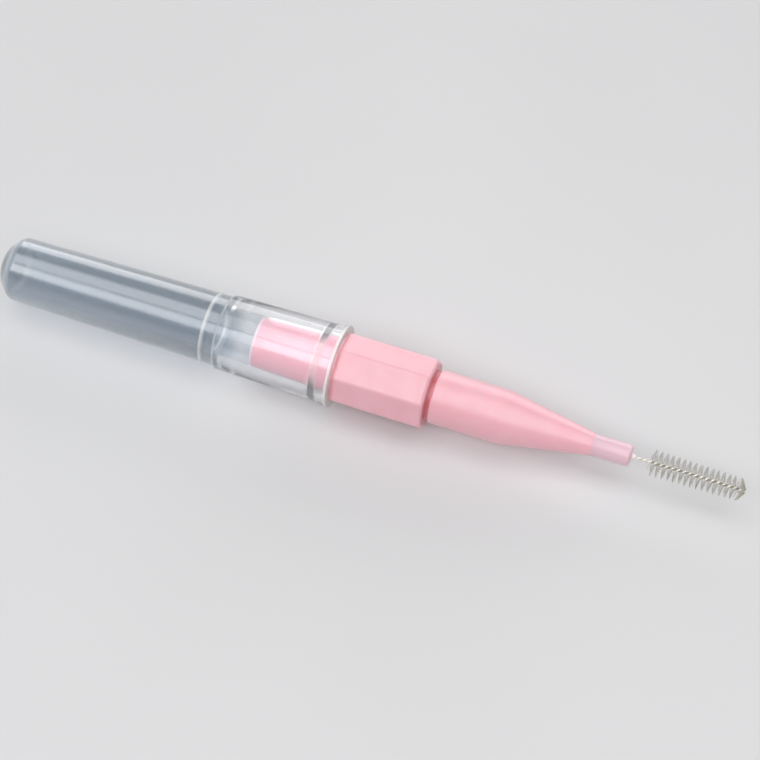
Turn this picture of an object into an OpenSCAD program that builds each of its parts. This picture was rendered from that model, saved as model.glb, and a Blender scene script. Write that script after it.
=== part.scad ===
// Interdental brush with its clear cap pushed on the tail of the handle.
// The axis of the brush runs along X, with +X towards the bristles and +Z up.
// The origin is on the axis where the straight seat of the neck begins.

/* [Grip collar] */
// Length of the eight-sided grip collar
collar_l = 10.9; // [8:0.1:14]
// Distance across two opposite flats of the collar
collar_flats = 7.95; // [7.6:0.05:9]
// Roll of the flats about the axis, in degrees
collar_turn = 16; // [0:1:44]
// How far the turned envelope takes the sharp corners down
collar_relief = 0.05; // [0.02:0.01:0.15]
// Rounding of the collar's two end edges
collar_round_r = 0.55; // [0.2:0.05:0.8]

/* [Neck and nose] */
// Diameter of the neck, on which the cap seats when it covers the brush
neck_d = 6.25; // [6:0.05:6.4]
// Length of the neck from the collar to the start of the cone
neck_l = 8.6; // [7:0.1:14]
// Width of the groove at the root of the neck
groove_w = 0.45; // [0.2:0.05:0.8]
// Depth of the groove at the root of the neck
groove_depth = 0.22; // [0.05:0.01:0.4]
// Rounding of the neck's rear edge, next to the groove
neck_round_r = 0.3; // [0.1:0.05:0.5]
// Radius of the soft shoulder between the neck and the cone
shoulder_r = 5; // [1:0.5:10]
// Length of the cone
cone_l = 10.4; // [8:0.1:16]
// Diameter of the slim tip where the cone ends
tip_root_d = 2.5; // [2:0.02:3.4]
// Step all round where the cone ends and the slim tip begins
crease_step = 0.05; // [0.02:0.01:0.1]
// Diameter of the slim tip at its free end
tip_end_d = 2.56; // [2:0.02:3.6]
// Length of the slim tip
tip_l = 4.4; // [3:0.1:7]
// Rounding of the slim tip's end edge
tip_round_r = 0.38; // [0.1:0.02:0.6]
// Diameter of the small nub from which the wire comes out
nub_d = 0.75; // [0.7:0.05:1.2]
// Length of the nub
nub_l = 0.5; // [0.2:0.05:0.8]

/* [Tail] */
// Diameter of the tail next to the collar
tail_root_d = 6.25; // [6.1:0.05:6.4]
// Diameter of the tail at its free end
tail_end_d = 6; // [5.8:0.05:6.1]
// Length of the tail, which the cap grips
tail_l = 10; // [6:0.1:14]
// Chamfer of the tail's end edge
tail_chamfer = 0.35; // [0.1:0.05:0.8]

/* [Cap] */
// Length of the cap from its mouth to the top of its dome
cap_l = 42; // [40:0.5:60]
// Outer diameter of the slim tube where it meets the dome
cap_end_d = 7.55; // [7.3:0.05:8.2]
// Outer diameter of the slim tube next to the step
cap_tube_d = 8.3; // [7.6:0.05:8.5]
// Radius of the dome at the closed end
dome_r = 4.6; // [4.4:0.1:8]
// Rounding between the dome and the slim tube
dome_corner_r = 1.1; // [0.3:0.1:1.4]
// Thickness of the closed end on the axis
dome_wall = 1; // [0.6:0.05:1.6]
// Bore of the slim tube at the closed end
tube_bore_end_d = 5.9; // [5:0.05:6]
// Bore of the slim tube next to the step
tube_bore_d = 5.95; // [5.2:0.05:6.1]
// Length of the wide socket, from the mouth to the outer step
socket_l = 14; // [11:0.1:18]
// Distance along the axis from the outer step to the step in the bore
step_offset = 1.65; // [0.6:0.1:3]
// Length of the slope of each step
step_slope = 0.3; // [0.1:0.05:0.6]
// Outer diameter of the socket next to the step
socket_end_d = 8.8; // [8.5:0.05:9.2]
// Outer diameter of the socket where the flare begins
socket_mouth_d = 9.25; // [8.9:0.05:9.6]
// Outer diameter of the flare
flare_d = 9.7; // [9.4:0.02:11]
// Length of the flared part
flare_l = 1.75; // [1:0.1:3]
// Length of the straight band at the flare's rim
flare_band = 0.35; // [0.2:0.05:0.8]
// Rounding of the rim's two edges
rim_round_r = 0.12; // [0.04:0.02:0.16]
// Diameter of the shallow recess inside the mouth
recess_d = 7.3; // [7:0.05:7.8]
// Bore of the socket next to the step in the bore
socket_bore_d = 6.3; // [6.15:0.05:6.4]
// Depth of the recess inside the mouth
recess_l = 2.2; // [1:0.1:4]
// Gap all round between the tail's root and the socket, which grips it there
cap_fit = 0.08; // [0.02:0.01:0.14]
// Gap between the cap's mouth and the collar
seat_gap = 0.05; // [0.02:0.01:0.3]

/* [Wire] */
// Diameter of the steel wire before twisting
wire_d = 0.2; // [0.16:0.01:0.26]
// Gap between the two twisted legs, filled by the pinched filaments
pinch = 0.06; // [0.05:0.01:0.1]
// Length of one full turn of the twist
twist_pitch = 1.29; // [1.1:0.005:2]
// Direction in which the first leg lies where the wire begins, in degrees
twist_start = 94; // [0:1:179]
// Length of the wire held inside the nose
wire_embed = 8; // [5:0.1:12]
// Length of bare wire between the nub and the first bristles
wire_free = 1.75; // [1:0.1:4]
// Gap all round between the wire and its bore in the nose
wire_fit = 0.02; // [0.01:0.005:0.04]

/* [Bristles] */
// Length of the brush from its first bristle to the end of the wire
brush_l = 10.95; // [8:0.1:16]
// Diameter over the bristles next to the handle
brush_root_d = 3.06; // [2:0.05:5]
// Diameter over the bristles next to the free end
brush_end_d = 2.6; // [1.6:0.05:4.5]
// Thickness of one filament
filament_w = 0.08; // [0.06:0.005:0.09]
// Filaments caught in one full turn of the twist
filaments_a_turn = 19; // [18:1:22]
// Lean of the filaments towards the handle, in degrees
filament_lean = 8; // [0:1:12]
// Lean of the last filaments of all, in degrees
tuft_lean = 32; // [20:1:34]
// Extra lean of every other filament in the end tuft, in degrees
tuft_spread = 5; // [3:1:6]

/* [Hidden] */

// Overrun of every cut
overrun = 0.2;
// Smoothness of turned shapes and segments of a rounded corner in their outlines
round_fn = 96;
corner_steps = 6;
dome_steps = 10;
// Sides of the wire, rings of it in one turn and steps of its hairpin bend
wire_sides = 6;
wire_rings = 10;
bend_steps = 6;

// Stations along the axis, from the origin at the start of the neck's seat
x_face = -(groove_w + neck_round_r);
x_back = x_face - collar_l;
x_tail = x_back - tail_l;
x_cone = x_face + neck_l;
x_tip = x_cone + cone_l;
x_tip_end = x_tip + tip_l;
x_nub = x_tip_end + nub_l;
x_brush = x_nub + wire_free;
x_brush_end = x_brush + brush_l;
x_mouth = x_back - seat_gap;
x_dome = x_mouth - cap_l;

// The two legs of the wire lie beside the axis, and the hairpin bend is their end
lay_r = (wire_d + pinch) / 2;
x_bend = x_brush_end - lay_r - wire_d / 2;
x_wire = x_nub - wire_embed;
bore_r = lay_r + wire_d / 2 + wire_fit;

// The filaments' pinched middles form a thin twisted ribbon between the two legs
ribbon_t = pinch * 0.8;
ribbon_r = lay_r + wire_d / 4;
// Share of their spacing that the filaments take up where the legs pinch them
pinched_share = 0.6;
row_pitch = twist_pitch / 2;
x_tuft = x_bend - row_pitch;
filament_gap = twist_pitch / filaments_a_turn;
// The lean grows over this many rows before the free end
lean_rows = 3;

// Outline helpers: unit vector, and the points of a rounded corner at b between a and c
function unit(v) = v / norm(v);
function rounded(a, b, c, r, steps) =
    let (u = unit(a - b), v = unit(c - b))
    let (half = acos(u * v) / 2)
    let (centre = b + unit(u + v) * r / sin(half))
    let (from = b + u * r / tan(half) - centre, to = b + v * r / tan(half) - centre)
    let (start = atan2(from[1], from[0]))
    let (turn = atan2(from[0] * to[1] - from[1] * to[0], from * to))
    [for (i = [0:steps]) centre + r * [cos(start + turn * i / steps), sin(start + turn * i / steps)]];

// Direction at an angle about the axis, from +Y towards +Z
function radial(angle) = [0, cos(angle), sin(angle)];
function around(angle) = [0, -sin(angle), cos(angle)];

// Direction of the first leg at a station; the twist is left-handed
function twist(x) = twist_start - 360 * (x - x_wire) / twist_pitch;

// Turns an outline of [radius, station] points about the X axis
module turned() {
    rotate([0, 90, 0])
        rotate_extrude($fn = round_fn)
            children();
}

// Skins a list of rings, each a list of points, as one closed tube
module skinned(rings) {
    sides = len(rings[0]);
    last = len(rings) - 1;
    walls = [
        for (i = [0:last - 1], j = [0:sides - 1])
            let (a = i * sides + j, b = i * sides + (j + 1) % sides)
                each [[a, a + sides, b], [b, a + sides, b + sides]]
    ];
    first_cap = [for (j = [1:sides - 2]) [0, j, j + 1]];
    last_cap = [for (j = [1:sides - 2]) [last * sides, last * sides + j + 1, last * sides + j]];
    polyhedron([for (ring = rings) each ring], concat(first_cap, walls, last_cap));
}

// Handle: tail, grip collar, neck, cone, slim tip and the nub round the wire
function neck_outline() =
    let (groove_r = neck_d / 2 - groove_depth)
    let (rear = [neck_d / 2, x_face + groove_w], shoulder = [neck_d / 2, x_cone])
    let (cone_end = [tip_root_d / 2 + crease_step, x_tip], tip_start = [tip_root_d / 2, x_tip + crease_step])
    let (tip_edge = [tip_end_d / 2, x_tip_end])
    concat(
        [[0, x_back + collar_l / 2], [groove_r, x_back + collar_l / 2], [groove_r, x_face + groove_w]],
        rounded([groove_r, x_face + groove_w], rear, shoulder, neck_round_r, corner_steps),
        rounded(rear, shoulder, cone_end, shoulder_r, corner_steps),
        [cone_end, tip_start],
        rounded(tip_start, tip_edge, [0, x_tip_end], tip_round_r, corner_steps),
        [[nub_d / 2, x_tip_end], [nub_d / 2, x_nub - nub_l / 8], [nub_d / 2 - nub_l / 8, x_nub], [0, x_nub]]
    );

module tail_outline() {
    polygon([
        [0, x_tail],
        [tail_end_d / 2 - tail_chamfer, x_tail],
        [tail_end_d / 2, x_tail + tail_chamfer],
        [tail_root_d / 2, x_back],
        [tail_root_d / 2, x_back + collar_l / 2],
        [0, x_back + collar_l / 2]
    ]);
}

// Turned envelope of the collar, which rounds its ends and eases its eight corners
module collar_envelope() {
    corner_r = collar_flats / 2 / cos(22.5) - collar_relief;
    polygon(concat(
        [[0, x_back]],
        rounded([0, x_back], [corner_r, x_back], [corner_r, x_face], collar_round_r, corner_steps),
        rounded([corner_r, x_back], [corner_r, x_face], [0, x_face], collar_round_r, corner_steps),
        [[0, x_face]]
    ));
}

module collar() {
    intersection() {
        turned() collar_envelope();
        rotate([-collar_turn, 0, 0])
            translate([x_back - overrun, 0, 0])
                rotate([0, 90, 0])
                    rotate([0, 0, 22.5])
                        cylinder(r = collar_flats / 2 / cos(22.5), h = collar_l + 2 * overrun, $fn = 8);
    }
}

module handle() {
    color([0.94, 0.71, 0.76])
        difference() {
            union() {
                turned() tail_outline();
                collar();
                turned() polygon(neck_outline());
            }
            translate([x_wire - wire_d / 2, 0, 0])
                rotate([0, 90, 0])
                    cylinder(r = bore_r, h = x_nub - x_wire + wire_d / 2 + overrun, $fn = round_fn);
        }
}

// Cap: one outline, up the outside from the dome to the mouth and back along the bore

// Point where the dome's circle reaches a radius
function dome_point(r) = [r, x_dome + dome_r - sqrt(dome_r * dome_r - r * r)];

function dome_outline() =
    let (edge = dome_point(cap_end_d / 2), inner = dome_point(cap_end_d / 2 - dome_corner_r))
    concat(
        [for (i = [0:dome_steps - 1]) dome_point(inner[0] * i / dome_steps)],
        rounded(inner, edge, [cap_tube_d / 2, x_mouth - socket_l], dome_corner_r, corner_steps)
    );

function outside_outline() =
    let (x_step = x_mouth - socket_l, x_flare = x_mouth - flare_l)
    let (rim = [flare_d / 2, x_mouth], band = [flare_d / 2, x_mouth - flare_band])
    concat(
        dome_outline(),
        [[cap_tube_d / 2, x_step - step_slope / 2], [socket_end_d / 2, x_step + step_slope / 2]],
        [[socket_mouth_d / 2, x_flare], band],
        rounded(band, rim, [recess_d / 2, x_mouth], rim_round_r, corner_steps)
    );

function bore_outline() =
    let (x_ledge = x_mouth - socket_l - step_offset, x_recess = x_mouth - recess_l)
    let (recess_edge = [recess_d / 2, x_mouth], x_floor = x_dome + dome_wall)
    let (floor_r = tube_bore_end_d / 2, corner = [floor_r, x_floor + dome_corner_r])
    concat(
        rounded([flare_d / 2, x_mouth], recess_edge, [recess_d / 2, x_recess], rim_round_r, corner_steps),
        [[recess_d / 2, x_recess], [tail_root_d / 2 + cap_fit, x_recess - step_slope]],
        [[socket_bore_d / 2, x_ledge + step_slope / 2], [tube_bore_d / 2, x_ledge - step_slope / 2]],
        rounded([tube_bore_d / 2, x_ledge], [floor_r, x_floor], [0, x_floor], dome_corner_r, corner_steps),
        [[0, x_floor]]
    );

module cap() {
    color([0.80, 0.84, 0.88, 0.35])
        turned() polygon(concat(outside_outline(), bore_outline()));
}

// Twisted wire: one length of wire, folded into a hairpin and twisted on itself
function leg_stations() =
    let (count = ceil(wire_rings * (x_bend - x_wire) / twist_pitch))
    [for (i = [0:count]) x_wire + (x_bend - x_wire) * i / count];

// Each entry is a point of the wire's centre line and the direction away from the axis there
function wire_path() =
    let (stations = leg_stations(), count = len(stations) - 1)
    concat(
        [for (x = stations) [[x, 0, 0] + lay_r * radial(twist(x)), radial(twist(x))]],
        [
            for (k = [1:bend_steps - 1])
                let (b = 180 * k / bend_steps)
                let (x = x_bend + lay_r * sin(b))
                let (out = [sin(b), 0, 0] + cos(b) * radial(twist(x)))
                    [[x_bend, 0, 0] + lay_r * out, out]
        ],
        [
            for (i = [count:-1:0])
                let (x = stations[i], out = -radial(twist(x)))
                    [[x, 0, 0] + lay_r * out, out]
        ]
    );

function wire_ring(path, i) =
    let (last = len(path) - 1)
    let (along = unit(path[min(i + 1, last)][0] - path[max(i - 1, 0)][0]))
    let (side = unit(cross(along, path[i][1])))
    let (out = cross(side, along))
    [
        for (j = [0:wire_sides - 1])
            let (angle = 360 * j / wire_sides)
                path[i][0] + wire_d / 2 * (cos(angle) * out + sin(angle) * side)
    ];

module twisted_wire() {
    path = wire_path();
    color([0.78, 0.77, 0.74])
        skinned([for (i = [0:len(path) - 1]) wire_ring(path, i)]);
}

// Bristles: the filaments stand in the plane between the two legs, which turns with the twist
function brush_r(x) = (brush_root_d + (brush_end_d - brush_root_d) * (x - x_brush) / brush_l) / 2;

function lean(x) =
    filament_lean + (tuft_lean - filament_lean) * pow(max(0, 1 - (x_bend - x) / (lean_rows * row_pitch)), 2);

// Where the strand of a filament at one edge of the ribbon reaches its free end: its four corners
function strand_end(x, angle, tilt) =
    let (out = [-sin(tilt), 0, 0] + cos(tilt) * radial(angle), side = around(angle))
    let (front = cross(out, side), middle = [x, 0, 0] + brush_r(x) / cos(tilt) * out)
    [for (s = [[-1, -1], [1, -1], [1, 1], [-1, 1]]) middle + filament_w / 2 * (s[1] * side + s[0] * front)];

// One cross-section of the ribbon, which stands in the plane between the two legs
function ribbon_ring(x) =
    let (wide = ribbon_r * radial(twist(x) + 90), thick = ribbon_t / 2 * around(twist(x) + 90))
    [[x, 0, 0] + wide + thick, [x, 0, 0] - wide + thick, [x, 0, 0] - wide - thick, [x, 0, 0] + wide - thick];

// A stretch of the ribbon with its filaments, as one closed skin. Two cross-sections bound
// each filament, and between them both edges of the ribbon grow out into a strand.
module filaments(x_from, x_to, gap, spread) {
    count = floor((x_to - x_from) / gap);
    pinched_w = gap * pinched_share;
    middles = [for (i = [0:count - 1]) x_from + gap * (i + 0.5)];
    stations = concat([x_from], [for (x = middles) each [x - pinched_w / 2, x + pinched_w / 2]], [x_to]);
    last = len(stations) - 1;
    ends = [
        for (i = [0:count - 1], edge = [1, 3])
            let (x = middles[i], angle = twist(x) + (edge == 1 ? 270 : 90))
                each strand_end(x, angle, lean(x) + spread * (i % 2))
    ];
    flats = [
        for (i = [0:last - 1], j = [0:3])
            if (i % 2 == 0 || j % 2 == 0)
                let (a = i * 4 + j, b = i * 4 + (j + 1) % 4)
                    each [[a, a + 4, b], [b, a + 4, b + 4]]
    ];
    strands = [
        for (i = [0:count - 1], edge = [1, 3])
            let (a = (i * 2 + 1) * 4 + edge, b = (i * 2 + 1) * 4 + (edge + 1) % 4)
            let (root = [a, a + 4, b + 4, b], top = (last + 1) * 4 + (i * 2 + (edge - 1) / 2) * 4)
                each [
                    each [for (k = [0:3]) each [
                        [root[k], root[(k + 1) % 4], top + k],
                        [root[(k + 1) % 4], top + (k + 1) % 4, top + k]
                    ]],
                    [top, top + 1, top + 2],
                    [top, top + 2, top + 3]
                ]
    ];
    far = last * 4;
    ribbon_ends = [[0, 1, 2], [0, 2, 3], [far, far + 2, far + 1], [far, far + 3, far + 2]];
    polyhedron(concat([for (x = stations) each ribbon_ring(x)], ends), concat(flats, strands, ribbon_ends));
}

module bristles() {
    color([0.72, 0.70, 0.62])
        filaments(x_brush, x_tuft, filament_gap, 0);
}

module tip_tuft() {
    color([0.80, 0.79, 0.74])
        filaments(x_tuft, x_bend, filament_gap / 2, tuft_spread);
}

cap();
handle();
twisted_wire();
bristles();
tip_tuft();
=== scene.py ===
"""Dresses an interdental brush: a clear cap on the tail of a pink handle, and a wire brush at its nose.

The brush lies along X with the bristles towards +X, and the origin is on its axis where the neck's straight
seat begins. Lengths are in metres and angles in degrees, unless a name says otherwise.
"""

import logging
import math
import random
from dataclasses import dataclass, field
from enum import Enum
from functools import cache

import bpy
import numpy as np
from mathutils import Matrix, Vector


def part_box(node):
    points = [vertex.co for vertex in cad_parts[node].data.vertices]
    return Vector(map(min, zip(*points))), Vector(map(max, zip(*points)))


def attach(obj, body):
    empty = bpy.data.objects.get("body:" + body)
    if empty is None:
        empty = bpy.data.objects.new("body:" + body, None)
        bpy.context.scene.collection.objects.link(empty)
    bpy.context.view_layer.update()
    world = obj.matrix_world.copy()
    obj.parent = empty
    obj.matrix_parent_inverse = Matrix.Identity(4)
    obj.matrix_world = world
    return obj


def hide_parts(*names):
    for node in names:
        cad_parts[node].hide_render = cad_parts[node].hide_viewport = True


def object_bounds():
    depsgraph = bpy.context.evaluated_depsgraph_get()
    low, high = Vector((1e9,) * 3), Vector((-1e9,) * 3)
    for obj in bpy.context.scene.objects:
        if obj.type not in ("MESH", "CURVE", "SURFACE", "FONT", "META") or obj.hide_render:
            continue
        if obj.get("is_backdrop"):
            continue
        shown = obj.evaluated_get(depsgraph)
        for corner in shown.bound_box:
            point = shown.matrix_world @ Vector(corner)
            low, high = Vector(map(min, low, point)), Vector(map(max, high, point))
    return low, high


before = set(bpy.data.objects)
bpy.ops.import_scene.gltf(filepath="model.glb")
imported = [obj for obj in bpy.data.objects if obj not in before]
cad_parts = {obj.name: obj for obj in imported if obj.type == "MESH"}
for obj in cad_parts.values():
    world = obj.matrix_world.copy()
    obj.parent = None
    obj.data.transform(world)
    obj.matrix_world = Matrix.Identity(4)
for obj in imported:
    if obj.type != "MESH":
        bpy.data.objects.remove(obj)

MM = 0.001
BEYOND = 1.0  # A station past the end of every piece.
Colour = tuple[float, float, float, float]
log = logging.getLogger("interdental_brush")


class Body(Enum):
    """The bodies that pieces ride on."""

    HANDLE = "handle"
    CAP = "cap"


class Slot(Enum):
    """The material slots of the brush."""

    CAP = "cap_clear"
    HANDLE = "handle_pink"
    WIRE = "wire_steel"
    FILAMENT = "filament_nylon"
    TUFT = "tuft_nylon"


class Mix(Enum):
    """What a Mix node mixes: Blender's name for it, and the places of its two inputs and its result."""

    NUMBER = ("FLOAT", 2, 3, 0)
    COLOUR = ("RGBA", 6, 7, 2)


@cache
def box_of(node: str) -> tuple[Vector, Vector]:
    """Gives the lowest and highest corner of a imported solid, measured once."""
    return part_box(node)


def radial(angle: float) -> np.ndarray:
    """Gives the unit vector square to the axis at an angle about it, from +Y towards +Z."""
    return np.array([0.0, math.cos(math.radians(angle)), math.sin(math.radians(angle))])


def around(angle: float) -> np.ndarray:
    """Gives the unit vector of travel round the axis at an angle, square to radial(angle)."""
    return radial(angle + 90.0)


def unit(vector: np.ndarray) -> np.ndarray:
    """Gives a vector of length one in the same direction."""
    return vector / np.linalg.norm(vector)


def circle_angles(count: int) -> list[float]:
    """Gives evenly spread angles round a circle, in radians."""
    return [math.radians(360.0 * i / count) for i in range(count)]


@dataclass
class Outline:
    """The outline of a turned piece, as points of station along the axis and radius, with rounded corners."""

    corner_steps: int = 7
    corners: list[tuple[float, float, float]] = field(default_factory=list)

    def to(self, x: float, r: float, rounding: float = 0.0) -> "Outline":
        """Adds a corner at a station and radius, rounded or creased, and gives the outline itself."""
        self.corners.append((x, r, rounding))
        return self

    def points(self) -> list[tuple[float, float]]:
        """Gives the outline with its rounded corners laid out.

        Returns:
            Points of station and radius, in order.
        """
        found: list[tuple[float, float]] = []
        last = len(self.corners) - 1
        for i, (x, r, rounding) in enumerate(self.corners):
            if rounding <= 0.0 or i in (0, last):
                found.append((x, r))
                continue
            before = np.array(self.corners[i - 1][:2])
            after = np.array(self.corners[i + 1][:2])
            found.extend(self.rounded(before, np.array([x, r]), after, rounding))
        return found

    def rounded(self, a: np.ndarray, b: np.ndarray, c: np.ndarray, r: float) -> list[tuple[float, float]]:
        """Lays out one rounded corner.

        Args:
            a: The point before the corner.
            b: The corner.
            c: The point after it.
            r: Radius of the rounding.

        Returns:
            Points along the arc, from the side of a to the side of c.
        """
        u, v = unit(a - b), unit(c - b)
        half = math.acos(max(-1.0, min(1.0, float(u @ v)))) / 2
        centre = b + unit(u + v) * r / math.sin(half)
        first, final = b + u * r / math.tan(half) - centre, b + v * r / math.tan(half) - centre
        start = math.atan2(first[1], first[0])
        turn = math.atan2(first[0] * final[1] - first[1] * final[0], float(first @ final))
        angles = [start + turn * i / self.corner_steps for i in range(self.corner_steps + 1)]
        return [(centre[0] + r * math.cos(t), centre[1] + r * math.sin(t)) for t in angles]


@dataclass
class Skin:
    """Gathers points and faces of one mesh."""

    points: list[np.ndarray] = field(default_factory=list)
    faces: list[tuple[int, ...]] = field(default_factory=list)

    def tube(self, rings: list[np.ndarray]) -> None:
        """Adds a skin over a row of rings, closed at both ends by a face.

        Args:
            rings: Rings of as many points each, every ring in the same turning direction.
        """
        base, sides, count = len(self.points), len(rings[0]), len(rings)
        for ring in rings:
            self.points.extend(ring)
        for i in range(count - 1):
            a, b = base + i * sides, base + (i + 1) * sides
            for j in range(sides):
                k = (j + 1) % sides
                self.faces.append((a + j, a + k, b + k, b + j))
        self.faces.append(tuple(base + j for j in reversed(range(sides))))
        self.faces.append(tuple(base + (count - 1) * sides + j for j in range(sides)))

    def turned(self, outline: list[tuple[float, float]], sides: int) -> None:
        """Adds a solid turned about the axis, whose outline starts and ends on the axis.

        Args:
            outline: Points of station and radius; the first and the last lie on the axis.
            sides: Points round each ring.
        """
        base = len(self.points)
        inner = outline[1:-1]
        directions = [radial(360.0 * j / sides) for j in range(sides)]
        self.points.append(np.array([outline[0][0], 0.0, 0.0]))
        for x, r in inner:
            self.points.extend(np.array([x, 0.0, 0.0]) + r * d for d in directions)
        self.points.append(np.array([outline[-1][0], 0.0, 0.0]))
        last = len(self.points) - 1
        for j in range(sides):
            k = (j + 1) % sides
            self.faces.append((base, base + 1 + k, base + 1 + j))
            for i in range(len(inner) - 1):
                a = base + 1 + i * sides
                self.faces.append((a + j, a + k, a + sides + k, a + sides + j))
            a = base + 1 + (len(inner) - 1) * sides
            self.faces.append((last, a + j, a + k))

    def to_object(self, name: str, crease: float = 40.0) -> bpy.types.Object:
        """Makes an object of the mesh, smooth but for its creases.

        Args:
            name: Name of the piece.
            crease: Edges that turn by more than this stay sharp.

        Returns:
            The new object, linked to the scene.
        """
        mesh = bpy.data.meshes.new(name)
        mesh.from_pydata([tuple(map(float, p)) for p in self.points], [], self.faces)
        mesh.validate()
        mesh.shade_smooth()
        mesh.set_sharp_from_angle(angle=math.radians(crease))
        made = bpy.data.objects.new(name, mesh)
        bpy.context.scene.collection.objects.link(made)
        return made


@dataclass(frozen=True)
class Cloud:
    """A cloudy pattern: its rough size, finer layers, stretch along X, Y and Z, and the span that is used."""

    size: float
    detail: float = 2.0
    stretch: tuple[float, float, float] = (1.0, 1.0, 1.0)
    span: tuple[float, float] = (0.3, 0.7)


class Bench:
    """The node tree of a material or world, with short ways to add nodes and join them."""

    def __init__(self, owner: bpy.types.ID, kind: str = "Material", place: str = "Object") -> None:
        """Starts an empty node tree.

        Args:
            owner: The material or world.
            kind: Blender's word for it in the output node's type.
            place: Name of the coordinates that patterns follow.
        """
        self.owner = owner
        owner.use_nodes = True
        self.tree = owner.node_tree
        self.tree.nodes.clear()
        self.output = self.tree.nodes.new("ShaderNodeOutput" + kind)
        self.place = self.node("ShaderNodeTexCoord").outputs[place]

    def node(self, kind: str, **sockets: object) -> bpy.types.Node:
        """Adds a node.

        Args:
            kind: Blender's name of the node type.
            **sockets: Inputs by name, with _ for a space: a value, or an output to join.

        Returns:
            The new node.
        """
        made = self.tree.nodes.new(kind)
        for name, value in sockets.items():
            self.put(made.inputs[name.replace("_", " ")], value)
        return made

    def put(self, socket: bpy.types.NodeSocket, value: object) -> None:
        """Joins an output to an input, or sets the input's own value.

        Args:
            socket: The input.
            value: A value, or an output to join.
        """
        if isinstance(value, bpy.types.NodeSocket):
            self.tree.links.new(value, socket)
        else:
            socket.default_value = value

    def math(self, operation: str, a: object, b: object = 0.0, clamp: bool = False) -> bpy.types.NodeSocket:
        """Adds a calculation.

        Args:
            operation: Blender's name of the operation.
            a: First value or output.
            b: Second value or output.
            clamp: Keeps the result from 0 to 1.

        Returns:
            The output with the result.
        """
        made = self.tree.nodes.new("ShaderNodeMath")
        made.operation = operation
        made.use_clamp = clamp
        self.put(made.inputs[0], a)
        self.put(made.inputs[1], b)
        return made.outputs[0]

    def ramp(self, value: object, low: float, high: float, to_low: float,
             to_high: float) -> bpy.types.NodeSocket:
        """Maps a range of values smoothly to another.

        Args:
            value: The output that is mapped.
            low: Value at which the result is to_low.
            high: Value at which the result is to_high.
            to_low: Result at and below low.
            to_high: Result at and above high.

        Returns:
            The output with the mapped value.
        """
        made = self.tree.nodes.new("ShaderNodeMapRange")
        made.interpolation_type = "SMOOTHSTEP"
        for name, number in (("Value", value), ("From Min", low), ("From Max", high),
                             ("To Min", to_low), ("To Max", to_high)):
            self.put(made.inputs[name], number)
        return made.outputs["Result"]

    def mixed(self, what: Mix, share: object, a: object, b: object) -> bpy.types.NodeSocket:
        """Mixes two values.

        Args:
            what: Whether numbers or colours are mixed.
            share: Share of the second one, as a value or output.
            a: First value or output.
            b: Second value or output.

        Returns:
            The output with the mixed value.
        """
        made = self.tree.nodes.new("ShaderNodeMix")
        made.data_type, first, second, result = what.value
        self.put(made.inputs[0], share)
        self.put(made.inputs[first], a)
        self.put(made.inputs[second], b)
        return made.outputs[result]

    def blend(self, share: object, a: object, b: object) -> bpy.types.NodeSocket:
        """Mixes two colours by the share of the second."""
        return self.mixed(Mix.COLOUR, share, a, b)

    def between(self, share: object, a: object, b: object) -> bpy.types.NodeSocket:
        """Mixes two numbers by the share of the second."""
        return self.mixed(Mix.NUMBER, share, a, b)

    def window(self, value: object, low: float, high: float, soft: float) -> bpy.types.NodeSocket:
        """Marks a range of values, with soft ends.

        Args:
            value: The output that is looked at.
            low: Where the range begins.
            high: Where it ends.
            soft: How far each end is spread to either side.

        Returns:
            The output that is 1 in the range and 0 outside it.
        """
        into = self.ramp(value, low - soft, low + soft, 0.0, 1.0)
        out = self.ramp(value, high - soft, high + soft, 1.0, 0.0)
        return self.math("MULTIPLY", into, out)

    def noise(self, cloud: Cloud) -> bpy.types.NodeSocket:
        """Adds a cloudy pattern fixed to the piece.

        Args:
            cloud: The pattern.

        Returns:
            The output with the pattern, about 0 to 1.
        """
        scale = tuple(finer / cloud.size for finer in cloud.stretch)
        mapping = self.node("ShaderNodeMapping", Vector=self.place, Scale=scale)
        made = self.node("ShaderNodeTexNoise", Vector=mapping.outputs[0], Scale=1.0, Detail=cloud.detail)
        return made.outputs["Fac"]

    def along(self) -> bpy.types.NodeSocket:
        """Gives the station along the brush's axis at each point of the piece."""
        return self.node("ShaderNodeSeparateXYZ", Vector=self.place).outputs["X"]

    def away(self) -> bpy.types.NodeSocket:
        """Gives the distance from the brush's axis at each point of the piece.

        Returns:
            The output with the distance.
        """
        split = self.node("ShaderNodeSeparateXYZ", Vector=self.place)
        squares = [self.math("MULTIPLY", split.outputs[name], split.outputs[name]) for name in "YZ"]
        return self.math("SQRT", self.math("ADD", *squares))

    def bump(self, height: object, distance: float, strength: float = 1.0) -> bpy.types.NodeSocket:
        """Adds relief whose height runs from 0 to the distance, and gives the bent normal."""
        made = self.node("ShaderNodeBump", Height=height, Distance=distance, Strength=strength)
        return made.outputs["Normal"]

    def done(self, shader: bpy.types.NodeSocket) -> bpy.types.ID:
        """Joins the finished shader to the output and gives the material or world."""
        self.put(self.output.inputs["Surface"], shader)
        return self.owner


@dataclass(frozen=True)
class Zone:
    """A stretch along the axis where a finish changes, which can be kept to the faces within a radius."""

    low: float
    high: float = BEYOND
    share: float = 1.0
    soft: float = 0.05 * MM
    reach: float = 0.0

    def on(self, bench: Bench) -> bpy.types.NodeSocket:
        """Marks the zone in a material.

        Args:
            bench: The material's node tree.

        Returns:
            The output that is the zone's share inside it and 0 outside.
        """
        inside = bench.window(bench.along(), self.low, self.high, self.soft)
        if self.reach > 0.0:
            inner = bench.ramp(bench.away(), self.reach - self.soft, self.reach + self.soft, 1.0, 0.0)
            inside = bench.math("MULTIPLY", inside, inner)
        return bench.math("MULTIPLY", inside, self.share)


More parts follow.
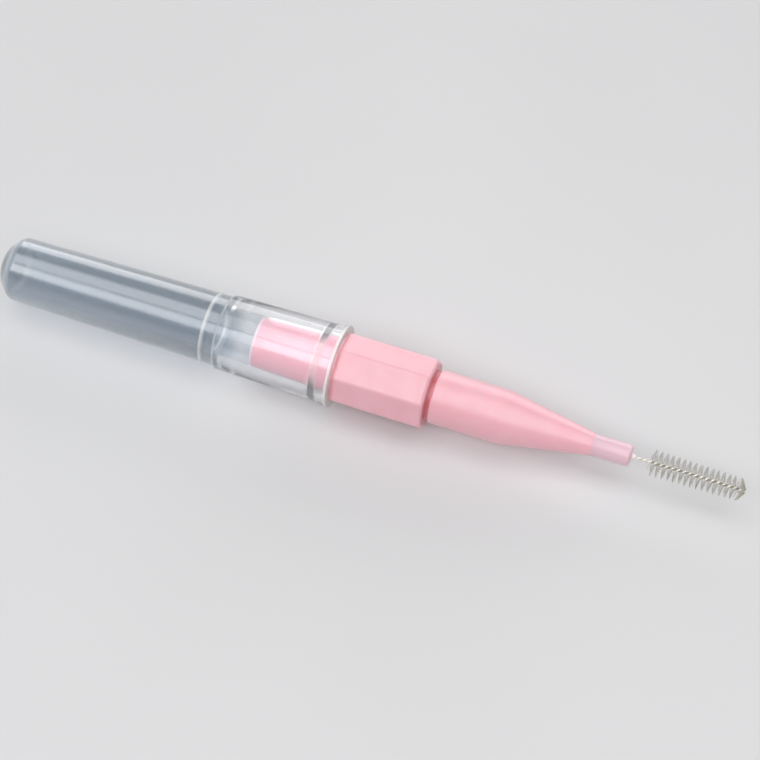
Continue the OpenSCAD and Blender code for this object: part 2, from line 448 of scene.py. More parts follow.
@dataclass(frozen=True)
class PinkPlastic:
    """Soft pink moulded plastic that light sinks into a little, with a satin skin."""

    colour: Colour = (0.92, 0.47, 0.54, 1.0)
    mottle: Colour = (0.90, 0.44, 0.51, 1.0)
    # Painted light: the slim tip is painted paler and more lilac, standing in for light passing through its
    # thin wall.
    painted_glow_tip_colour: Colour = (0.81, 0.53, 0.62, 1.0)
    # Painted shade: deep red laid into the groove at the neck's root and along the collar's rear end, where
    # shade falls.
    painted_shade_colour: Colour = (0.58, 0.10, 0.12, 1.0)
    # Painted highlight: the pale tone on the nub and along the rounded rear edge of the tail.
    painted_highlight_colour: Colour = (0.96, 0.82, 0.84, 1.0)
    ior: float = 1.49
    roughness: tuple[float, float] = (0.45, 0.56)
    gloss: float = 1.0
    gloss_ior: float = 1.8
    gloss_roughness: float = 0.42
    sink: float = 0.3
    sink_depth: float = 1.2 * MM
    sink_shares: tuple[float, float, float] = (1.0, 0.35, 0.35)
    mottle_cloud: Cloud = Cloud(2.4 * MM, span=(0.35, 0.65))
    satin_cloud: Cloud = Cloud(1.2 * MM, detail=3.0)
    grain_cloud: Cloud = Cloud(0.11 * MM, detail=3.0)
    grain_height: float = 0.006 * MM

    def material(self, zones: list[tuple[Zone, Colour]]) -> bpy.types.Material:
        """Makes the material.

        Args:
            zones: Stretches where light or shade is painted into the colour, each with its colour.

        Returns:
            The finished material.
        """
        bench = Bench(bpy.data.materials.new("pink_plastic"))
        clouds = bench.ramp(bench.noise(self.mottle_cloud), *self.mottle_cloud.span, 0.0, 1.0)
        colour = bench.blend(clouds, self.colour, self.mottle)
        for zone, tone in zones:
            colour = bench.blend(zone.on(bench), colour, tone)
        satin = bench.ramp(bench.noise(self.satin_cloud), *self.satin_cloud.span, *self.roughness)
        shader = bench.node(
            "ShaderNodeBsdfPrincipled", Base_Color=colour, Roughness=satin, IOR=self.ior,
            Coat_Weight=self.gloss, Coat_Roughness=self.gloss_roughness, Coat_IOR=self.gloss_ior,
            Subsurface_Weight=self.sink, Subsurface_Scale=self.sink_depth,
            Subsurface_Radius=self.sink_shares,
            Normal=bench.bump(bench.noise(self.grain_cloud), self.grain_height),
        )
        return bench.done(shader.outputs[0])


@dataclass(frozen=True)
class ClearPlastic:
    """Clear moulded plastic, hazy along the slim tube, clear at the socket, and matt and pale at its inner
    edges, a pale tint that paints the highlights those edges catch.
    """

    clear_tint: Colour = (0.92, 0.935, 0.955, 1.0)
    hazy_tint: Colour = (0.48, 0.54, 0.60, 1.0)
    # Pale tint of the matt rings: painted highlight where the bore's corners and the rim catch light.
    frost_highlight_tint: Colour = (0.97, 0.95, 0.91, 1.0)
    shadow_tint: Colour = (0.79, 0.80, 0.82, 1.0)
    ior: float = 1.49
    clear_roughness: float = 0.05
    hazy_roughness: float = 0.2
    frost_roughness: float = 0.5
    clear_sheer: float = 0.98
    hazy_sheer: float = 0.86
    frost_sheer: float = 0.3
    clear_gloss: float = 0.15
    hazy_gloss: float = 1.0
    gloss_ior: float = 1.85
    gloss_roughness: float = 0.2
    haze_fade: float = 1.0 * MM
    streaks: Cloud = Cloud(1.1 * MM, detail=3.0, stretch=(0.12, 1.0, 1.0), span=(0.35, 0.7))
    streak_roughness: float = 0.05
    streak_height: float = 0.01 * MM
    streak_strength: float = 0.5

    def material(self, clear_from: float, frost_highlight_rings: list[Zone]) -> bpy.types.Material:
        """Makes the material.

        Args:
            clear_from: Station where the clear socket begins.
            frost_highlight_rings: Rings whose faces are matt and painted pale as highlights.

        Returns:
            The finished material.
        """
        bench = Bench(bpy.data.materials.new("clear_plastic"))
        streaks = bench.noise(self.streaks)
        haze = bench.ramp(bench.along(), clear_from - self.haze_fade, clear_from + self.haze_fade, 1.0, 0.0)
        # Mask of the matt rings, rough and less clear, whose pale tint is painted highlight.
        frost_highlight: object = 0.0
        for zone in frost_highlight_rings:
            frost_highlight = bench.math("MAXIMUM", frost_highlight, zone.on(bench))
        roughness = bench.between(haze, self.clear_roughness, self.hazy_roughness)
        roughness = bench.between(frost_highlight, roughness, self.frost_roughness)
        uneven = bench.ramp(streaks, *self.streaks.span, 0.0, self.streak_roughness)
        sheer = bench.between(frost_highlight, bench.between(haze, self.clear_sheer, self.hazy_sheer), self.frost_sheer)
        colour = bench.blend(frost_highlight, bench.blend(haze, self.clear_tint, self.hazy_tint), self.frost_highlight_tint)
        glass = bench.node(
            "ShaderNodeBsdfPrincipled", Base_Color=colour, Roughness=bench.math("ADD", roughness, uneven),
            IOR=self.ior, Transmission_Weight=sheer,
            Coat_Weight=bench.between(haze, self.clear_gloss, self.hazy_gloss),
            Coat_Roughness=self.gloss_roughness, Coat_IOR=self.gloss_ior,
            Normal=bench.bump(streaks, self.streak_height, self.streak_strength),
        )
        open_way = bench.node("ShaderNodeBsdfTransparent", Color=self.shadow_tint)
        path = bench.node("ShaderNodeLightPath")
        mixed = bench.node("ShaderNodeMixShader", Fac=path.outputs["Is Shadow Ray"])
        bench.put(mixed.inputs[1], glass.outputs[0])
        bench.put(mixed.inputs[2], open_way.outputs[0])
        return bench.done(mixed.outputs[0])


@dataclass(frozen=True)
class DrawnSteel:
    """Bright drawn steel wire with fine lengthwise lines."""

    colour: Colour = (0.95, 0.93, 0.88, 1.0)
    dull: Colour = (0.66, 0.63, 0.56, 1.0)
    roughness: tuple[float, float] = (0.3, 0.48)
    dull_share: float = 0.6
    dull_cloud: Cloud = Cloud(0.6 * MM, span=(0.4, 0.7))
    line_cloud: Cloud = Cloud(0.05 * MM, stretch=(0.3, 1.0, 1.0))
    line_height: float = 0.002 * MM

    def material(self) -> bpy.types.Material:
        """Makes the material.

        Returns:
            The finished material.
        """
        bench = Bench(bpy.data.materials.new("drawn_steel"))
        lines = bench.noise(self.line_cloud)
        patches = bench.ramp(bench.noise(self.dull_cloud), *self.dull_cloud.span, 0.0, self.dull_share)
        shader = bench.node(
            "ShaderNodeBsdfPrincipled", Base_Color=bench.blend(patches, self.colour, self.dull), Metallic=1.0,
            Roughness=bench.ramp(lines, *self.line_cloud.span, *self.roughness),
            Normal=bench.bump(lines, self.line_height),
        )
        return bench.done(shader.outputs[0])


@dataclass(frozen=True)
class Nylon:
    """Fine nylon filament with a soft gloss, in one colour near the wire and another further out."""

    name: str
    colour: Colour
    root_colour: Colour
    ior: float = 1.53
    roughness: tuple[float, float] = (0.24, 0.38)
    root_r: float = 0.35 * MM
    free_r: float = 0.9 * MM
    uneven_cloud: Cloud = Cloud(0.3 * MM)
    uneven_height: float = 0.002 * MM

    def material(self) -> bpy.types.Material:
        """Makes the material.

        Returns:
            The finished material.
        """
        bench = Bench(bpy.data.materials.new(self.name))
        outer = bench.ramp(bench.away(), self.root_r, self.free_r, 0.0, 1.0)
        colour = bench.blend(outer, self.root_colour, self.colour)
        uneven = bench.noise(self.uneven_cloud)
        shader = bench.node(
            "ShaderNodeBsdfPrincipled", Base_Color=colour, IOR=self.ior,
            Roughness=bench.ramp(uneven, *self.uneven_cloud.span, *self.roughness),
            Normal=bench.bump(uneven, self.uneven_height),
        )
        return bench.done(shader.outputs[0])


@dataclass(frozen=True)
class PaleBoard:
    """Plain pale matt board that the brush lies on."""

    colour: Colour = (0.72, 0.72, 0.73, 1.0)
    shade: Colour = (0.70, 0.70, 0.71, 1.0)
    ior: float = 1.3
    roughness: float = 0.85
    cloud: Cloud = Cloud(60.0 * MM)

    def material(self) -> bpy.types.Material:
        """Makes the material.

        Returns:
            The finished material.
        """
        bench = Bench(bpy.data.materials.new("pale_board"))
        clouds = bench.ramp(bench.noise(self.cloud), *self.cloud.span, 0.0, 1.0)
        shader = bench.node(
            "ShaderNodeBsdfPrincipled", Base_Color=bench.blend(clouds, self.colour, self.shade),
            Roughness=self.roughness, IOR=self.ior,
        )
        return bench.done(shader.outputs[0])


@dataclass
class Piece:
    """One piece of the brush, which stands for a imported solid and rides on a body."""

    node: str = ""
    body: Body = Body.HANDLE
    slot: Slot = Slot.HANDLE

    def skin(self) -> Skin:
        """Gives the mesh of the piece."""
        raise NotImplementedError

    def finish(self) -> bpy.types.Material:
        """Gives the material of the piece."""
        raise NotImplementedError

    def make(self) -> bpy.types.Object:
        """Builds, dresses and seats the piece.

        Returns:
            The finished object.
        """
        made = self.skin().to_object(self.node + "_dressed")
        made.data.materials.append(self.finish())
        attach(made, self.body.value)
        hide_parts(self.node)
        log.info("%s: %d faces, on body %s", made.name, len(made.data.polygons), self.body.value)
        return made


@dataclass
class ClearCap(Piece):
    """The cap: a slim tube with a domed end, and a wider socket with a flared mouth."""

    node: str = "cap"
    body: Body = Body.CAP
    slot: Slot = Slot.CAP
    end_d: float = 7.55 * MM
    tube_d: float = 8.3 * MM
    dome_r: float = 4.6 * MM
    dome_corner_r: float = 1.1 * MM
    dome_wall: float = 1.0 * MM
    dome_steps: int = 14
    tube_bore_end_d: float = 5.9 * MM
    tube_bore_d: float = 5.95 * MM
    socket_l: float = 14.0 * MM
    step_offset: float = 1.65 * MM
    step_slope: float = 0.3 * MM
    step_round: float = 0.12 * MM
    socket_end_d: float = 8.8 * MM
    socket_mouth_d: float = 9.25 * MM
    flare_l: float = 1.75 * MM
    flare_band: float = 0.35 * MM
    flare_round: float = 1.2 * MM
    rim_round: float = 0.14 * MM
    recess_d: float = 7.3 * MM
    recess_l: float = 2.2 * MM
    recess_slope: float = 0.65 * MM
    recess_round: float = 0.5 * MM
    grip_d: float = 6.41 * MM
    socket_bore_d: float = 6.3 * MM
    frost_reach: float = 0.15 * MM
    # Shares of the matt, pale rings: painted highlight on the bore's ledge, the recess, the floor's corner
    # and the rim.
    ledge_frost_highlight: float = 0.7
    recess_frost_highlight: float = 0.36
    floor_frost_highlight: float = 0.6
    rim_frost_highlight: float = 0.8
    sides: int = 192

    def mouth(self) -> float:
        """Gives the station of the cap's mouth."""
        return box_of(self.node)[1].x

    def step(self) -> float:
        """Gives the station of the step between the slim tube and the socket."""
        return self.mouth() - self.socket_l

    def skin(self) -> Skin:
        """Turns the outline, up the outside from the dome to the mouth and back along the bore.

        Returns:
            The mesh of the cap.
        """
        low, high = box_of(self.node)
        x_dome, x_mouth, flare_r = low.x, high.x, high.z
        x_step, x_flare = self.step(), x_mouth - self.flare_l
        x_ledge, x_recess = x_step - self.step_offset, x_mouth - self.recess_l
        edge_r = self.end_d / 2
        x_edge = x_dome + self.dome_r - math.sqrt(self.dome_r**2 - edge_r**2)
        inner_r = edge_r - self.dome_corner_r
        outline = Outline()
        for i in range(self.dome_steps):
            r = inner_r * i / self.dome_steps
            outline.to(x_dome + self.dome_r - math.sqrt(self.dome_r**2 - r**2), r)
        outline.to(x_edge, edge_r, self.dome_corner_r)
        outline.to(x_step - self.step_slope / 2, self.tube_d / 2, self.step_round)
        outline.to(x_step + self.step_slope / 2, self.socket_end_d / 2, self.step_round)
        outline.to(x_flare, self.socket_mouth_d / 2, self.flare_round)
        outline.to(x_mouth - self.flare_band, flare_r, self.rim_round)
        outline.to(x_mouth, flare_r, self.rim_round)
        outline.to(x_mouth, self.recess_d / 2, self.rim_round)
        outline.to(x_recess + self.recess_slope, self.recess_d / 2, self.recess_round)
        outline.to(x_recess - self.step_slope, self.grip_d / 2, self.recess_round)
        outline.to(x_ledge + self.step_slope / 2, self.socket_bore_d / 2)
        outline.to(x_ledge - self.step_slope / 2, self.tube_bore_d / 2)
        x_floor = x_dome + self.dome_wall
        outline.to(x_floor, self.tube_bore_end_d / 2, self.dome_corner_r)
        outline.to(x_floor, 0.0)
        made = Skin()
        made.turned(outline.points(), self.sides)
        return made

    def finish(self) -> bpy.types.Material:
        """Dresses the cap in clear plastic, matt at the corners of its bore and at the rim, where a pale tint
        paints the highlights those edges catch.

        Returns:
            The cap's material.
        """
        mouth, ledge = self.mouth(), self.step() - self.step_offset
        floor = box_of(self.node)[0].x + self.dome_wall
        recess, near = mouth - self.recess_l, self.frost_reach
        # Matt rings with a pale tint: painted highlight at the ledge, the recess, the floor's corner and the
        # rim.
        frost_highlight_rings = [
            Zone(ledge - self.step_slope / 2, ledge + self.step_slope / 2, self.ledge_frost_highlight),
            Zone(recess - self.step_slope - near, recess + self.recess_slope, self.recess_frost_highlight,
                 soft=near, reach=self.recess_d / 2 + near),
            Zone(floor + self.dome_corner_r / 2, floor + self.dome_corner_r, self.floor_frost_highlight,
                 soft=near, reach=self.tube_bore_d / 2 + near),
            Zone(mouth - self.flare_band, mouth + self.flare_band, self.rim_frost_highlight),
        ]
        return ClearPlastic().material(self.step(), frost_highlight_rings)


@dataclass
class Handle(Piece):
    """The handle: tail, eight-sided grip collar, neck, cone and slim tip, moulded in one."""

    node: str = "handle"
    body: Body = Body.HANDLE
    slot: Slot = Slot.HANDLE
    collar_l: float = 10.9 * MM
    collar_flats: float = 7.95 * MM
    collar_turn: float = 16.0
    collar_corner_r: float = 0.6 * MM
    collar_round: float = 0.5 * MM
    round_steps: int = 8
    ring_shares: tuple[float, ...] = (0.1, 0.3, 0.5, 0.7, 0.9)
    facets: int = 8
    corner_points: int = 8
    flat_shares: tuple[float, ...] = (0.06, 0.2, 0.35, 0.5, 0.65, 0.8, 0.94)
    neck_d: float = 6.25 * MM
    neck_l: float = 8.6 * MM
    groove_w: float = 0.45 * MM
    groove_depth: float = 0.22 * MM
    neck_round: float = 0.3 * MM
    shoulder_r: float = 5.0 * MM
    cone_l: float = 10.4 * MM
    cone_end_d: float = 2.6 * MM
    crease_l: float = 0.08 * MM
    tip_root_d: float = 2.5 * MM
    tip_end_d: float = 2.56 * MM
    tip_l: float = 4.4 * MM
    tip_round: float = 0.38 * MM
    nub_root_d: float = 0.73 * MM
    nub_end_d: float = 0.56 * MM
    nub_round: float = 0.14 * MM
    tail_root_d: float = 6.25 * MM
    tail_end_d: float = 6.0 * MM
    tail_round: float = 0.35 * MM
    rear_shade: float = 0.4
    inner_round: float = 0.12 * MM

    def face(self) -> float:
        """Gives the station of the collar's front face."""
        return -(self.groove_w + self.neck_round)

    def back(self) -> float:
        """Gives the station of the collar's rear end."""
        return self.face() - self.collar_l

    def tip(self) -> float:
        """Gives the station where the cone ends and the slim tip begins."""
        return self.face() + self.neck_l + self.cone_l

    def octagon(self, inset: float) -> np.ndarray:
        """Lays out the collar's section, an octagon with rounded corners.

        Args:
            inset: How far the section is drawn in all round.

        Returns:
            Points of Y and Z, in order round the axis.
        """
        step = 360.0 / self.facets
        reach = (self.collar_flats / 2 - self.collar_corner_r) / math.cos(math.radians(step / 2))
        corner_r = self.collar_corner_r - inset
        arcs = []
        for k in range(self.facets):
            flat = 180.0 - self.collar_turn + step * k
            middle = radial(flat + step / 2)[1:] * reach
            turns = [flat + step * i / (self.corner_points - 1) for i in range(self.corner_points)]
            arcs.append([middle + corner_r * radial(t)[1:] for t in turns])
        points: list[np.ndarray] = []
        for k in range(self.facets):
            points.extend(arcs[k])
            a, b = arcs[k][-1], arcs[(k + 1) % self.facets][0]
            points.extend(a + (b - a) * share for share in self.flat_shares)
        return np.array(points)

    def circle(self, radius: float) -> np.ndarray:
        """Lays out a round section with as many points as the octagon, starting beside the same corner.

        Args:
            radius: Radius of the section.

        Returns:
            Points of Y and Z, in order round the axis.
        """
        count = self.facets * (self.corner_points + len(self.flat_shares))
        corner_span = (self.corner_points - 1) / 2
        first = 180.0 - self.collar_turn + 360.0 / self.facets / 2 - 360.0 * corner_span / count
        return np.array([radius * radial(first + 360.0 * i / count)[1:] for i in range(count)])

    def collar_rings(self) -> list[tuple[float, np.ndarray]]:
        """Lays out the collar's sections from its rear end to its front face, rounded at both ends.

        Returns:
            Stations, each with the section there.
        """
        back, face, r = self.back(), self.face(), self.collar_round
        quarter = [math.radians(90.0 * i / self.round_steps) for i in range(self.round_steps + 1)]
        arc = [(r * (1 - math.cos(t)), self.octagon(r * (1 - math.sin(t)))) for t in quarter]
        rear = [(back + inward, ring) for inward, ring in arc]
        middle = [(back + self.collar_l * share, self.octagon(0.0)) for share in self.ring_shares]
        front = [(face - inward, ring) for inward, ring in reversed(arc)]
        return rear + middle + front

    def skin(self) -> Skin:
        """Lofts the handle from the end of its tail to the nub round the wire.

        Returns:
            The mesh of the handle.
        """
        low, high = box_of(self.node)
        x_tail, x_nub = low.x, high.x
        back, face, tip = self.back(), self.face(), self.tip()
        tail = Outline().to(x_tail, 0.0).to(x_tail, self.tail_end_d / 2, self.tail_round)
        tail.to(back - self.inner_round, self.tail_root_d / 2)
        tail.to(back, self.tail_root_d / 2 + self.inner_round)
        tip_end = tip + self.tip_l
        nose = Outline().to(face, self.neck_d / 2 - self.groove_depth)
        nose.to(face + self.groove_w, self.neck_d / 2 - self.groove_depth)
        nose.to(face + self.groove_w, self.neck_d / 2, self.neck_round)
        nose.to(face + self.neck_l, self.neck_d / 2, self.shoulder_r)
        nose.to(tip - self.crease_l, self.cone_end_d / 2, self.crease_l / 2)
        nose.to(tip, self.tip_root_d / 2)
        nose.to(tip_end, self.tip_end_d / 2, self.tip_round)
        nose.to(tip_end, self.nub_root_d / 2, self.nub_round)
        nose.to(x_nub, self.nub_end_d / 2, self.nub_round)
        nose.to(x_nub, 0.0)
        sections = [(x, self.circle(r)) for x, r in tail.points()[1:]]
        sections += self.collar_rings()
        sections += [(x, self.circle(r)) for x, r in nose.points()[:-1]]
        rings = [np.column_stack([np.full(len(ring), x), ring]) for x, ring in sections]
        made = Skin()
        made.tube(rings)
        return made

    def finish(self) -> bpy.types.Material:
        """Dresses the handle in pink plastic, with painted shade in the groove and along the collar's rear
        end, a paler tip painted for light passing through it, and painted highlights on the nub and the
        tail's rear edge.

        Returns:
            The handle's material.
        """
        x_tail = box_of(self.node)[0].x
        pink, face, back = PinkPlastic(), self.face(), self.back()
        return pink.material([
            # Painted light and shade: a paler tip for light passing through it, painted highlights on the nub
            # and the tail's rear edge, and painted shade in the groove and along the collar's rear end.
            (Zone(self.tip()), pink.painted_glow_tip_colour),
            (Zone(self.tip() + self.tip_l), pink.painted_highlight_colour),
            (Zone(face, face + self.groove_w), pink.painted_shade_colour),
            (Zone(back, back + self.collar_round, self.rear_shade, self.collar_round / 2), pink.painted_shade_colour),
            (Zone(x_tail, x_tail + self.tail_round, soft=self.tail_round / 2), pink.painted_highlight_colour),
        ])


@dataclass
class Twist:
    """The lay of the wire: two legs wound left-handed, with filaments pinched between them."""

    wire_d: float = 0.2 * MM
    pinch: float = 0.06 * MM
    pitch: float = 1.29 * MM
    start_angle: float = 94.0
    embed: float = 8.0 * MM

    def start(self) -> float:
        """Gives the station where the wire begins, deep inside the nose."""
        return box_of("handle")[1].x - self.embed

    def lay_r(self) -> float:
        """Gives the distance of each leg from the axis."""
        return (self.wire_d + self.pinch) / 2

    def bend(self) -> float:
        """Gives the station where the hairpin bend begins."""
        return box_of("twisted_wire")[1].x - self.lay_r() - self.wire_d / 2

    def angle(self, x: float) -> float:
        """Gives the angle of the first leg about the axis at a station."""
        return self.start_angle - 360.0 * (x - self.start()) / self.pitch


@dataclass
class TwistedWire(Piece):
    """One length of steel wire, folded into a hairpin and twisted on itself."""

    node: str = "twisted_wire"
    slot: Slot = Slot.WIRE
    lay: Twist = field(default_factory=Twist)
    sides: int = 16
    rings_a_turn: int = 28
    bend_steps: int = 14

    def path(self) -> list[tuple[np.ndarray, np.ndarray]]:
        """Lays out the wire's centre line.

        Returns:
            Points, each with the outward direction there.
        """
        start, bend, r = self.lay.start(), self.lay.bend(), self.lay.lay_r()
        count = math.ceil(self.rings_a_turn * (bend - start) / self.lay.pitch)
        stations = [start + (bend - start) * i / count for i in range(count + 1)]
        found = []
        for x in stations:
            out = radial(self.lay.angle(x))
            found.append((np.array([x, 0.0, 0.0]) + r * out, out))
        for k in range(1, self.bend_steps):
            b = math.radians(180.0 * k / self.bend_steps)
            side = radial(self.lay.angle(bend + r * math.sin(b)))
            out = np.array([math.sin(b), 0.0, 0.0]) + math.cos(b) * side
            found.append((np.array([bend, 0.0, 0.0]) + r * out, out))
        for x in reversed(stations):
            out = -radial(self.lay.angle(x))
            found.append((np.array([x, 0.0, 0.0]) + r * out, out))
        return found

    def skin(self) -> Skin:
        """Sweeps the wire's round section along its centre line.

        Returns:
            The mesh of the wire.
        """
        path = self.path()
        last = len(path) - 1
        r = self.lay.wire_d / 2
        turns = circle_angles(self.sides)
        rings = []
        for i, (point, away) in enumerate(path):
            along = unit(path[min(i + 1, last)][0] - path[max(i - 1, 0)][0])
            side = unit(np.cross(along, away))
            out = np.cross(side, along)
            rings.append(np.array([point + r * (math.cos(t) * out + math.sin(t) * side) for t in turns]))
        made = Skin()
        made.tube(rings)
        return made

    def finish(self) -> bpy.types.Material:
        """Dresses the wire in bright steel."""
        return DrawnSteel().material()


@dataclass
class Filaments(Piece):
    """Nylon filaments that pass between the two legs of the wire and stand out on both sides."""

    lay: Twist = field(default_factory=Twist)
    thickness: float = 0.045 * MM
    a_turn: int = 20
    sides: int = 6
    steps: int = 9
    root_d: float = 3.06 * MM
    end_d: float = 2.6 * MM
    whole_l: float = 10.95 * MM
    lean_root: float = 22.0
    lean_free: float = -4.0
    lean_last: float = 32.0
    lean_rows: float = 3.0
    lean_jitter: float = 1.6
    angle_jitter: float = 2.2
    length_jitter: float = 0.02
    pinched_share: float = 0.62
    pinch_reach_wires: float = 3.0
    end_length_share: float = 0.7
    end_width_share: float = 0.55
    seed: int = 11

    def first(self) -> float:
        """Gives the station where the rows of the brush begin."""
        return box_of("twisted_wire")[1].x - self.whole_l

    def span(self) -> tuple[float, float]:
        """Gives the stations between which these filaments are pinched."""
        return self.first(), self.lay.bend() - self.lay.pitch / 2

    def lean(self, x: float, share: float) -> float:
        """Gives how far a filament leans towards the handle.

        Args:
            x: Station where the filament is pinched.
            share: Place along the filament, from 0 at the wire to 1 at its free end.

        Returns:
            The lean in degrees.
        """
        usual = self.lean_root + (self.lean_free - self.lean_root) * share
        near = max(0.0, 1.0 - (self.lay.bend() - x) / (self.lean_rows * self.lay.pitch / 2)) ** 2
        return usual + (self.lean_last - usual) * near

    def reach(self, x: float) -> float:
        """Gives the radius of the brush at a station."""
        return (self.root_d + (self.end_d - self.root_d) * (x - self.first()) / self.whole_l) / 2

    def half(self, x: float, angle: float, reach: float, lean_by: float) -> list[np.ndarray]:
        """Lays out one side of a filament from the axis to its free end.

        Args:
            x: Station where it is pinched.
            angle: Direction in which it stands out.
            reach: Radius that it reaches.
            lean_by: Lean added to the usual one.

        Returns:
            Points of its centre line, from near the axis outwards.
        """
        points = []
        back = 0.0
        for i in range(1, self.steps + 1):
            share = i / self.steps
            back += math.tan(math.radians(self.lean(x, share) + lean_by)) * reach / self.steps
            points.append(np.array([x - back, 0.0, 0.0]) + share * reach * radial(angle))
        return points

    def strand(self, skin: Skin, points: list[np.ndarray], angle: float) -> None:
        """Adds one filament as a round strand with rounded free ends.

        Args:
            skin: The mesh that it joins.
            points: Its centre line from one free end to the other.
            angle: Direction in which its last half stands out.
        """
        side = around(angle)
        r = self.thickness / 2
        turns = circle_angles(self.sides)
        free_from = self.pinch_reach_wires * self.lay.wire_d
        rings = []
        last = len(points) - 1
        for i, point in enumerate(points):
            along = unit(points[min(i + 1, last)] - points[max(i - 1, 0)])
            front = unit(np.cross(side, along))
            free = min(1.0, float(np.linalg.norm(point[1:])) / free_from)
            width = self.pinched_share + (1.0 - self.pinched_share) * free
            ring = [point + r * (width * math.cos(t) * front + math.sin(t) * side) for t in turns]
            if i in (0, last):
                outward = (-along if i == 0 else along) * r * self.end_length_share
                tip = [point + outward + (p - point) * self.end_width_share for p in ring]
                rings.extend([np.array(tip), np.array(ring)] if i == 0 else [np.array(ring), np.array(tip)])
            else:
                rings.append(np.array(ring))
        skin.tube(rings)

    def seats(self) -> list[tuple[float, float]]:
        """Lays out where the filaments are pinched.

        Returns:
            For each filament its station, and the station whose twist gives its direction.
        """
        start, end = self.span()
        gap = self.lay.pitch / self.a_turn
        stations = [start + gap * (i + 0.5) for i in range(int((end - start) / gap))]
        return [(x, x) for x in stations]

    def skin(self) -> Skin:
        """Lays out every filament, each through the wire with one half on either side.

        Returns:
            The mesh of the filaments.
        """
        dice = random.Random(self.seed)
        made = Skin()
        for x, twist_x in self.seats():
            angle = self.lay.angle(twist_x) + 90.0 + dice.uniform(-1, 1) * self.angle_jitter
            halves = []
            for turn in (180.0, 0.0):
                reach = self.reach(x) * (1.0 - self.length_jitter * dice.random())
                bent = angle + turn + dice.uniform(-1, 1) * self.angle_jitter
                halves.append(self.half(x, bent, reach, dice.uniform(-1, 1) * self.lean_jitter))
            points = list(reversed(halves[0])) + [np.array([x, 0.0, 0.0])] + halves[1]
            self.strand(made, points, angle)
        return made


@dataclass
class Bristles(Filaments):
    """The rows of bristles along the wire."""

    node: str = "bristles"
    slot: Slot = Slot.FILAMENT

    def finish(self) -> bpy.types.Material:
        """Dresses the bristles in grey nylon, painted paler near the wire, where painted light lifts the
        shade between the wire's legs.
        """
        # Painted light: the roots are paler than the free ends, standing in for light near the wire where
        # shade falls between its legs.
        grey, painted_light_root_grey = (0.37, 0.35, 0.30, 1.0), (0.50, 0.47, 0.40, 1.0)
        return Nylon("bristle_nylon", colour=grey, root_colour=painted_light_root_grey).material()


@dataclass
class TipTuft(Filaments):
    """The last, thick tuft, which the hairpin bend sweeps back."""

    node: str = "tip_tuft"
    slot: Slot = Slot.TUFT
    a_turn: int = 84
    lean_last: float = 30.0
    thickness: float = 0.06 * MM
    lean_jitter: float = 4.0
    angle_jitter: float = 6.0
    length_jitter: float = 0.05
    crowding: float = 2.2
    squeeze: float = 0.6
    past_bend: float = 0.11 * MM
    seed: int = 23

    def span(self) -> tuple[float, float]:
        """Gives the stations between which these filaments are pinched."""
        return self.lay.bend() - self.lay.pitch / 2, self.lay.bend()

    def seats(self) -> list[tuple[float, float]]:
        """Crowds the filaments towards the hairpin bend, where the two legs close on them.

        Returns:
            For each filament its station, and the station whose twist gives its direction.
        """
        start, end = self.span()
        found = []
        for x, _ in super().seats():
            before = (end - start) * ((end - x) / (end - start)) ** self.crowding
            found.append((end + self.past_bend - self.squeeze * before, end - before))
        return found

    def finish(self) -> bpy.types.Material:
        """Dresses the tuft in pale nylon."""
        pale, root_pale = (0.60, 0.58, 0.52, 1.0), (0.56, 0.54, 0.47, 1.0)
        return Nylon("tuft_nylon", colour=pale, root_colour=root_pale).material()


@dataclass(frozen=True)
class Lamp:
    """A soft lamp, sized by its length and its width; its level is how bright it makes a white card."""

    name: str
    angle: float
    distance: float
    size: tuple[float, float]
    level: float

    def hang(self) -> None:
        """Hangs the lamp at its angle about the axis, from -Y towards +Z, and turns it to the brush."""
        data = bpy.data.lights.new(self.name, "AREA")
        data.shape = "RECTANGLE"
        data.size, data.size_y = self.size
        data.energy = self.level * math.pi**2 * self.distance**2
        made = bpy.data.objects.new(self.name, data)
        along = Vector((1.0, 0.0, 0.0))
        way = Vector((0.0, -math.cos(math.radians(self.angle)), math.sin(math.radians(self.angle))))
        made.location = way * self.distance
        made.rotation_mode = "QUATERNION"
        made.rotation_quaternion = Matrix((along, way.cross(along), way)).transposed().to_quaternion()
        bpy.context.scene.collection.objects.link(made)


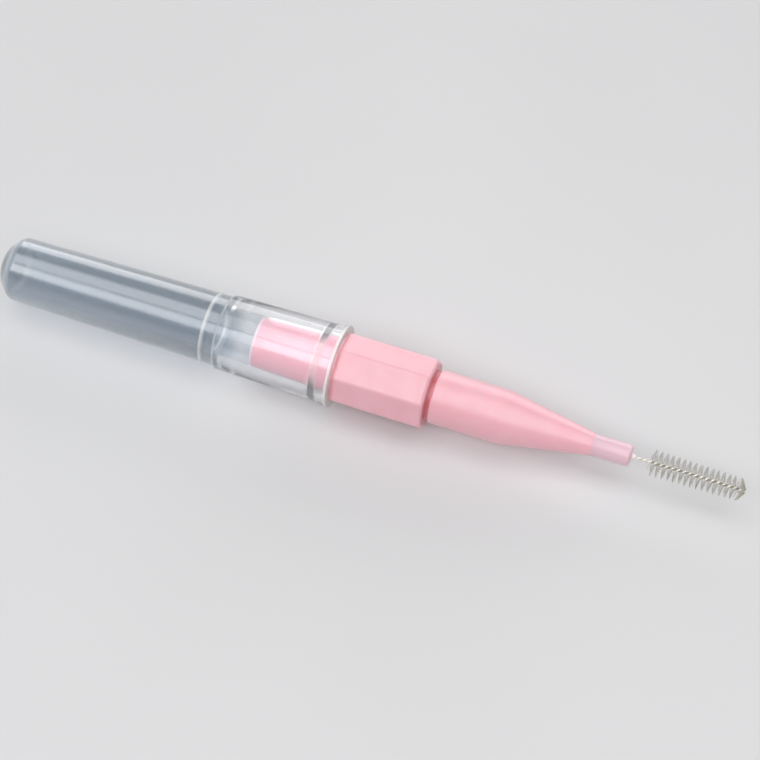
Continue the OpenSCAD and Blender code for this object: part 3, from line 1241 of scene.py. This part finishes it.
@dataclass
class Studio:
    """The pale board, the soft lamps and the camera."""

    board_side: float = 2.4
    board_cells: int = 8
    sky_tint: Colour = (1.0, 1.0, 1.0, 1.0)
    sky_level: float = 0.19
    wall_level: float = 0.66
    wall_height: float = 0.1
    sky_height: float = 0.42
    azimuth: float = 19.9
    elevation: float = 58.0
    distance: float = 230.7 * MM
    focus: tuple[float, float, float] = (-6.89 * MM, 0.0, -0.2 * MM)
    lens_mm: float = 96.6
    sensor_mm: float = 36.0
    clip: tuple[float, float] = (0.01, 20.0)
    lamps: tuple[Lamp, ...] = (
        Lamp("key", angle=57.0, distance=0.6, size=(0.9, 0.3), level=0.6),
        Lamp("top", angle=93.0, distance=0.7, size=(0.9, 0.42), level=0.48),
        Lamp("back", angle=161.0, distance=1.7, size=(2.1, 0.95), level=0.44),
    )

    def board(self) -> None:
        """Lays a flat board under the lowest point of the brush."""
        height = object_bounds()[0].z
        skin = Skin()
        side, cells = self.board_side, self.board_cells
        for i in range(cells + 1):
            for j in range(cells + 1):
                skin.points.append(np.array([side * (i / cells - 0.5), side * (j / cells - 0.5), height]))
        for i in range(cells):
            for j in range(cells):
                a = i * (cells + 1) + j
                skin.faces.append((a, a + cells + 1, a + cells + 2, a + 1))
        made = skin.to_object("board")
        made.data.materials.append(PaleBoard().material())
        made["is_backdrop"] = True
        log.info("board: at height %.5f m", height)

    def world(self) -> None:
        """Lights the studio evenly from all round, and shows pale walls that fade to a dim ceiling."""
        bench = Bench(bpy.data.worlds.new("studio"), "World", "Generated")
        height = bench.node("ShaderNodeSeparateXYZ", Vector=bench.place).outputs["Z"]
        shown = bench.ramp(height, self.wall_height, self.sky_height, self.wall_level, self.sky_level)
        path = bench.node("ShaderNodeLightPath").outputs
        mirrored = bench.math("ADD", path["Is Glossy Ray"], path["Is Transmission Ray"])
        seen = bench.math("ADD", path["Is Camera Ray"], mirrored, clamp=True)
        strength = bench.between(seen, self.sky_level, shown)
        light = bench.node("ShaderNodeBackground", Color=self.sky_tint, Strength=strength)
        bpy.context.scene.world = bench.done(light.outputs[0])

    def camera(self) -> None:
        """Sets the camera at the photograph's viewing angle."""
        a, e = math.radians(self.azimuth), math.radians(self.elevation)
        back = Vector((math.sin(a) * math.cos(e), -math.cos(a) * math.cos(e), math.sin(e)))
        data = bpy.data.cameras.new("camera")
        data.lens = self.lens_mm
        data.sensor_width = self.sensor_mm
        data.clip_start, data.clip_end = self.clip
        made = bpy.data.objects.new("camera", data)
        made.location = Vector(self.focus) + back * self.distance
        made.rotation_mode = "QUATERNION"
        made.rotation_quaternion = (-back).to_track_quat("-Z", "Y")
        bpy.context.scene.collection.objects.link(made)
        bpy.context.scene.camera = made

    def make(self) -> None:
        """Sets up board, lamps and camera."""
        self.board()
        self.world()
        for lamp in self.lamps:
            lamp.hang()
        self.camera()
        bpy.context.scene.view_settings.view_transform = "Standard"


def main() -> None:
    """Builds the brush piece by piece, then the studio round it."""
    logging.basicConfig(level=logging.INFO, format="%(name)s: %(message)s")
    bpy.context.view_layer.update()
    for piece in (ClearCap(), Handle(), TwistedWire(), Bristles(), TipTuft()):
        piece.make()
    Studio().make()


if __name__ == "__main__":
    main()
